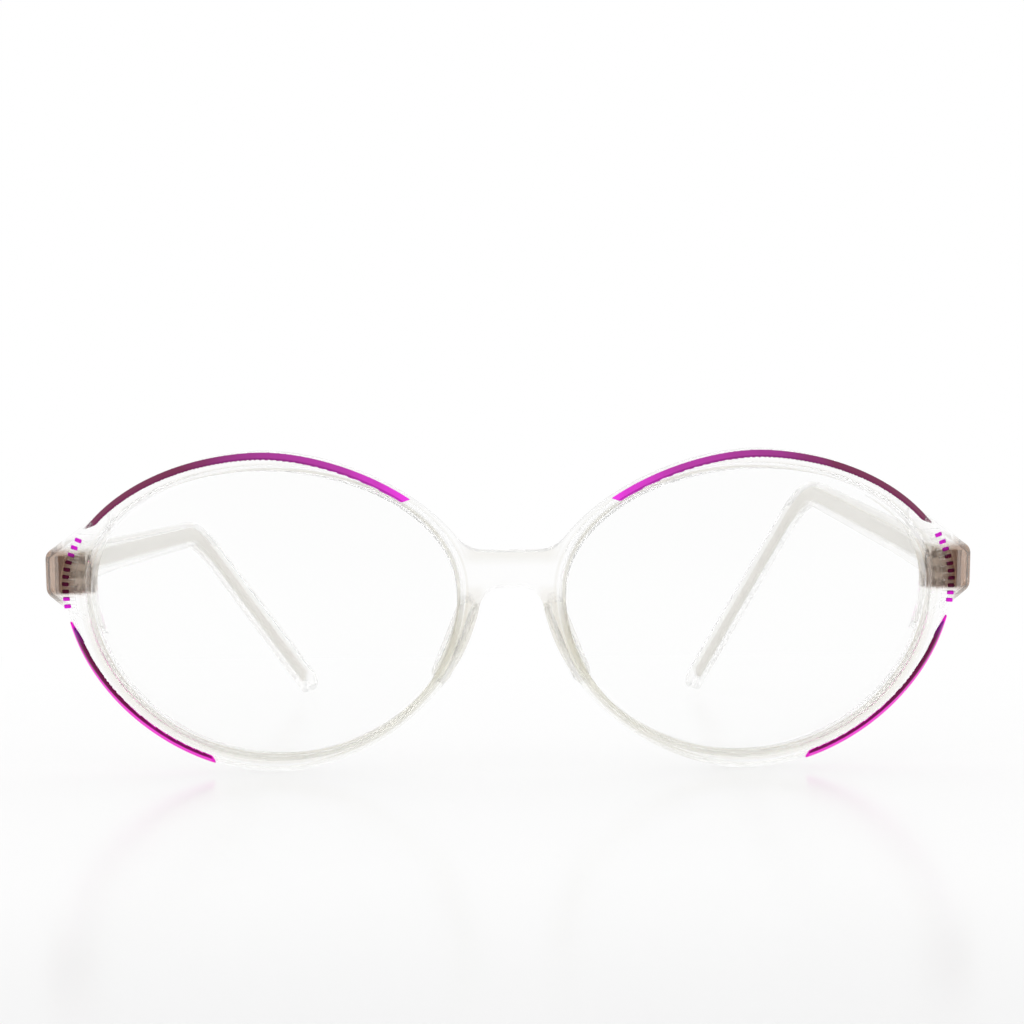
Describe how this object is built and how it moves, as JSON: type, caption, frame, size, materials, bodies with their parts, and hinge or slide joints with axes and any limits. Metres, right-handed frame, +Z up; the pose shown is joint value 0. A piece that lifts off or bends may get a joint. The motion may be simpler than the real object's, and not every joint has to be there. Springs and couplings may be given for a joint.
{
  "type": "eyeglasses",
  "caption": "Oval eyeglasses: clear plastic front with magenta enamel lines, clear lenses, and clear folding temples with metal cores on pin hinges.",
  "frame": {"origin": "on the surface it stands on, at the middle of its footprint", "axes": "the front looks towards -Y, the temples run back towards +Y, +Z up; the wearer's right is -X"},
  "size_m": [0.136, 0.136, 0.0467],
  "materials": {
    "clear_plastic": "clear, polished",
    "magenta_enamel": "metallic, glossy",
    "lens": "clear, polished",
    "hinge_metal": "plated",
    "core_metal": "polished"
  },
  "bodies": {
    "front": {"front_frame": "clear_plastic", "right_upper_enamel": "magenta_enamel", "right_lower_enamel": "magenta_enamel", "right_notch_enamel": "magenta_enamel", "right_lens": "lens", "right_nose_pad": "clear_plastic", "right_front_hinge": "hinge_metal", "right_hinge_screw": "hinge_metal", "left_upper_enamel": "magenta_enamel", "left_lower_enamel": "magenta_enamel", "left_notch_enamel": "magenta_enamel", "left_lens": "lens", "left_nose_pad": "clear_plastic", "left_front_hinge": "hinge_metal", "left_hinge_screw": "hinge_metal"},
    "right_temple": {"right_temple": "clear_plastic", "right_core_wire": "core_metal", "right_temple_hinge": "hinge_metal"},
    "left_temple": {"left_temple": "clear_plastic", "left_core_wire": "core_metal", "left_temple_hinge": "hinge_metal"}
  },
  "joints": [
    {"name": "right_temple_fold", "type": "hinge", "parent": "front", "child": "right_temple", "pos_m": [-0.0632, -0.05303, 0.02927], "axis": [0, -0.1392, 0.9903], "range_deg": [-84, 0]},
    {"name": "left_temple_fold", "type": "hinge", "parent": "front", "child": "left_temple", "pos_m": [0.0632, -0.05303, 0.02927], "axis": [0, -0.1392, 0.9903], "range_deg": [0, 82]}
  ]
}
